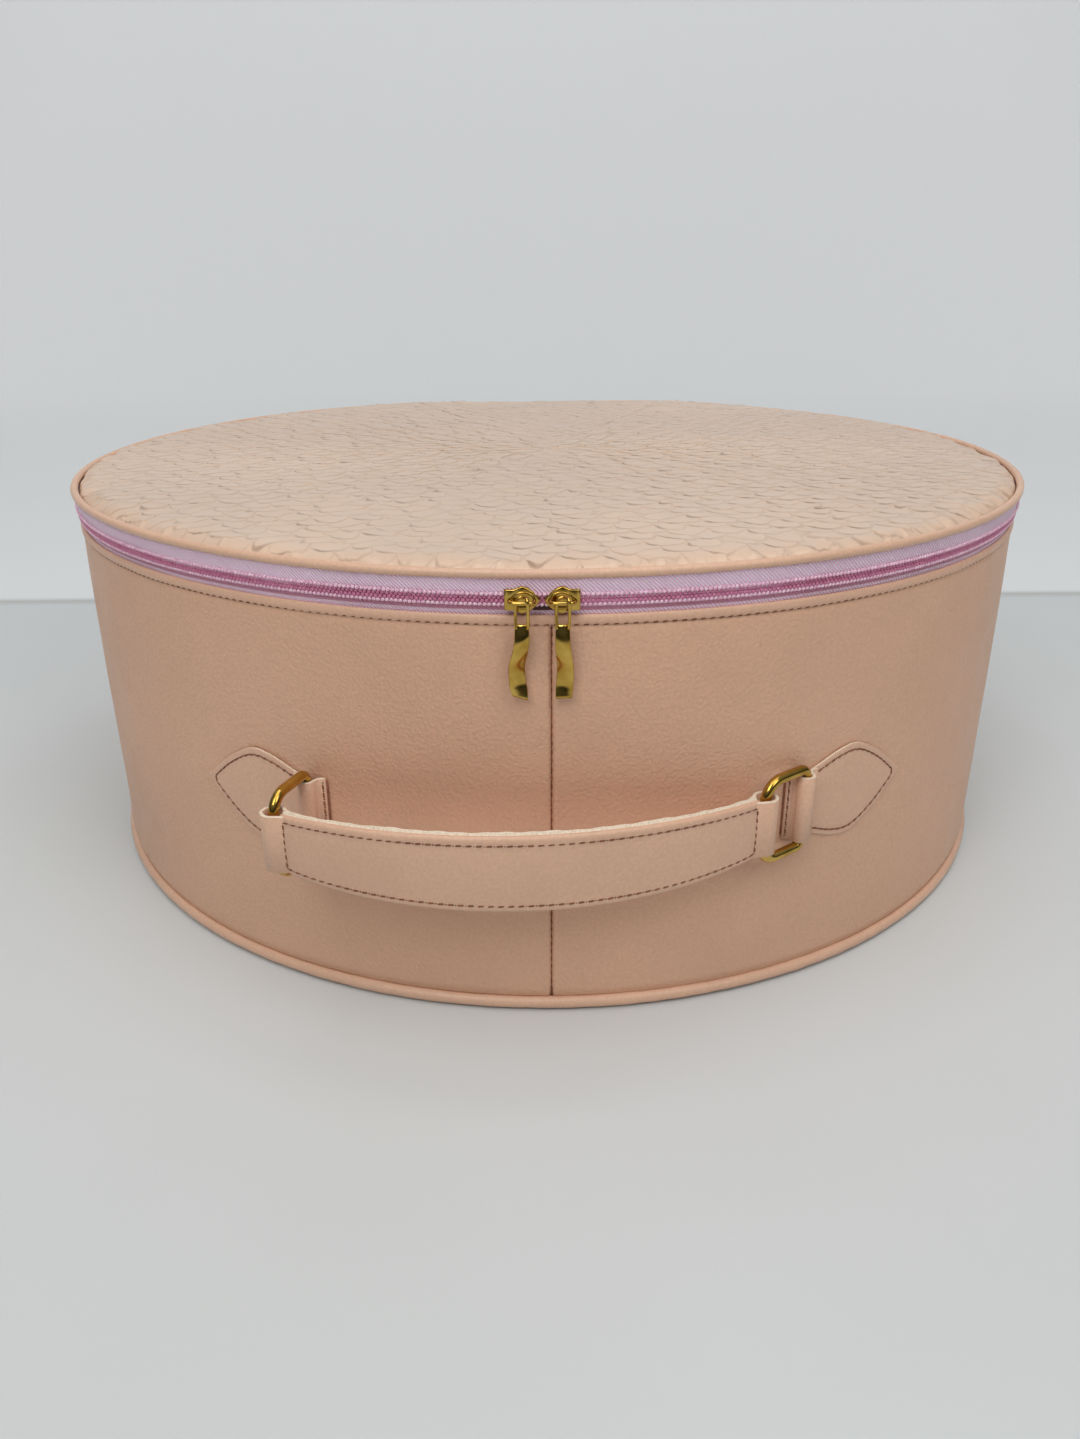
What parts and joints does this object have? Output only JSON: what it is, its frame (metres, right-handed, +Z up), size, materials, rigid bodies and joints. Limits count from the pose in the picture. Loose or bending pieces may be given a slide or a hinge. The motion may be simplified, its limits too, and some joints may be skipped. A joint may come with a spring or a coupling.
{
  "type": "makeup train case",
  "caption": "Round padded zip-around beauty case with a flat hinge side, a hinged soft lid, piped edges, two zip sliders and a carry strap on D-rings.",
  "frame": {"origin": "centre of the round underside, on the surface the case stands on", "axes": "+Z up through the lid, -Y towards the front with the strap and the zip pulls, +X to the right seen from the front"},
  "size_m": [0.408, 0.4177, 0.157],
  "materials": {
    "wall_leatherette": "fine grained soft satin leatherette, peach tan",
    "piping_leatherette": "smooth satin leatherette stretched over a cord",
    "lid_leatherette": "satin leatherette with a faint pressed scale pattern",
    "strap_leatherette": "fine grained satin leatherette with pale cut edges",
    "hinge_leatherette": "satin leatherette",
    "zip_tape": "pale pink herringbone zip tape",
    "zip_coil": "rose nylon zip coil",
    "gold_metal": "polished pale gold plating",
    "board": "grey-brown stiffening board",
    "foam": "soft padding",
    "lining": "plain woven lining",
    "piping_cord": "plain filler cord"
  },
  "bodies": {
    "case": {"wall_skin_left": "wall_leatherette", "wall_skin_right": "wall_leatherette", "wall_foam": "foam", "wall_board": "board", "wall_lining": "lining", "base_skin": "wall_leatherette", "base_board": "board", "base_foam": "foam", "base_lining": "lining", "base_piping_sleeve": "piping_leatherette", "base_piping_cord": "piping_cord", "zip_tape_lower": "zip_tape", "zip_coil_lower": "zip_coil", "hinge_strip": "hinge_leatherette", "hinge_lining": "lining", "tab_left": "strap_leatherette", "tab_right": "strap_leatherette"},
    "lid": {"lid_skin": "lid_leatherette", "lid_foam": "foam", "lid_board": "board", "lid_lining": "lining", "lid_piping_sleeve": "piping_leatherette", "lid_piping_cord": "piping_cord", "zip_tape_upper": "zip_tape", "zip_coil_upper": "zip_coil"},
    "slider_left": {"slider_left": "gold_metal"},
    "slider_right": {"slider_right": "gold_metal"},
    "pull_left": {"pull_left": "gold_metal"},
    "pull_right": {"pull_right": "gold_metal"},
    "ring_left": {"ring_left": "gold_metal"},
    "ring_right": {"ring_right": "gold_metal"},
    "handle": {"handle_cover": "strap_leatherette", "handle_pad": "foam", "handle_back_strap": "strap_leatherette"}
  },
  "joints": [
    {"name": "lid_hinge", "type": "hinge", "parent": "case", "child": "lid", "pos_m": [0, 0.1854, 0.1471], "axis": [-1, 0, 0], "range_deg": [0, 120], "deforming": ["hinge_strip", "hinge_lining"]},
    {"name": "slider_left_travel", "type": "hinge", "parent": "case", "child": "slider_left", "pos_m": [0, 0, 0.1464], "axis": [0, 0, -1], "range_deg": [0, 148]},
    {"name": "slider_right_travel", "type": "hinge", "parent": "case", "child": "slider_right", "pos_m": [0, 0, 0.1464], "axis": [0, 0, 1], "range_deg": [0, 148]},
    {"name": "pull_left_swing", "type": "hinge", "parent": "slider_left", "child": "pull_left", "pos_m": [-0.01074, -0.20432, 0.1464], "axis": [-0.9986, 0.0525, 0], "range_deg": [0, 150]},
    {"name": "pull_right_swing", "type": "hinge", "parent": "slider_right", "child": "pull_right", "pos_m": [0.00112, -0.2046, 0.1464], "axis": [-1, -0.0055, 0], "range_deg": [0, 150]},
    {"name": "ring_left_swivel", "type": "hinge", "parent": "case", "child": "ring_left", "pos_m": [-0.08113, -0.18658, 0.0705], "axis": [0, 0, 1], "range_deg": [0, 45]},
    {"name": "ring_right_swivel", "type": "hinge", "parent": "case", "child": "ring_right", "pos_m": [0.08113, -0.18658, 0.0705], "axis": [0, 0, 1], "range_deg": [0, 54.1]},
    {"name": "handle_swivel", "type": "hinge", "parent": "ring_left", "child": "handle", "pos_m": [-0.08824, -0.20419, 0.0705], "axis": [0, 0, 1], "range_deg": [-48.2, 0]}
  ],
  "couplings": [
    {"joint": "ring_right_swivel", "follows": "ring_left_swivel", "ratio": 1.1986},
    {"joint": "handle_swivel", "follows": "ring_left_swivel", "ratio": -1.0682}
  ]
}
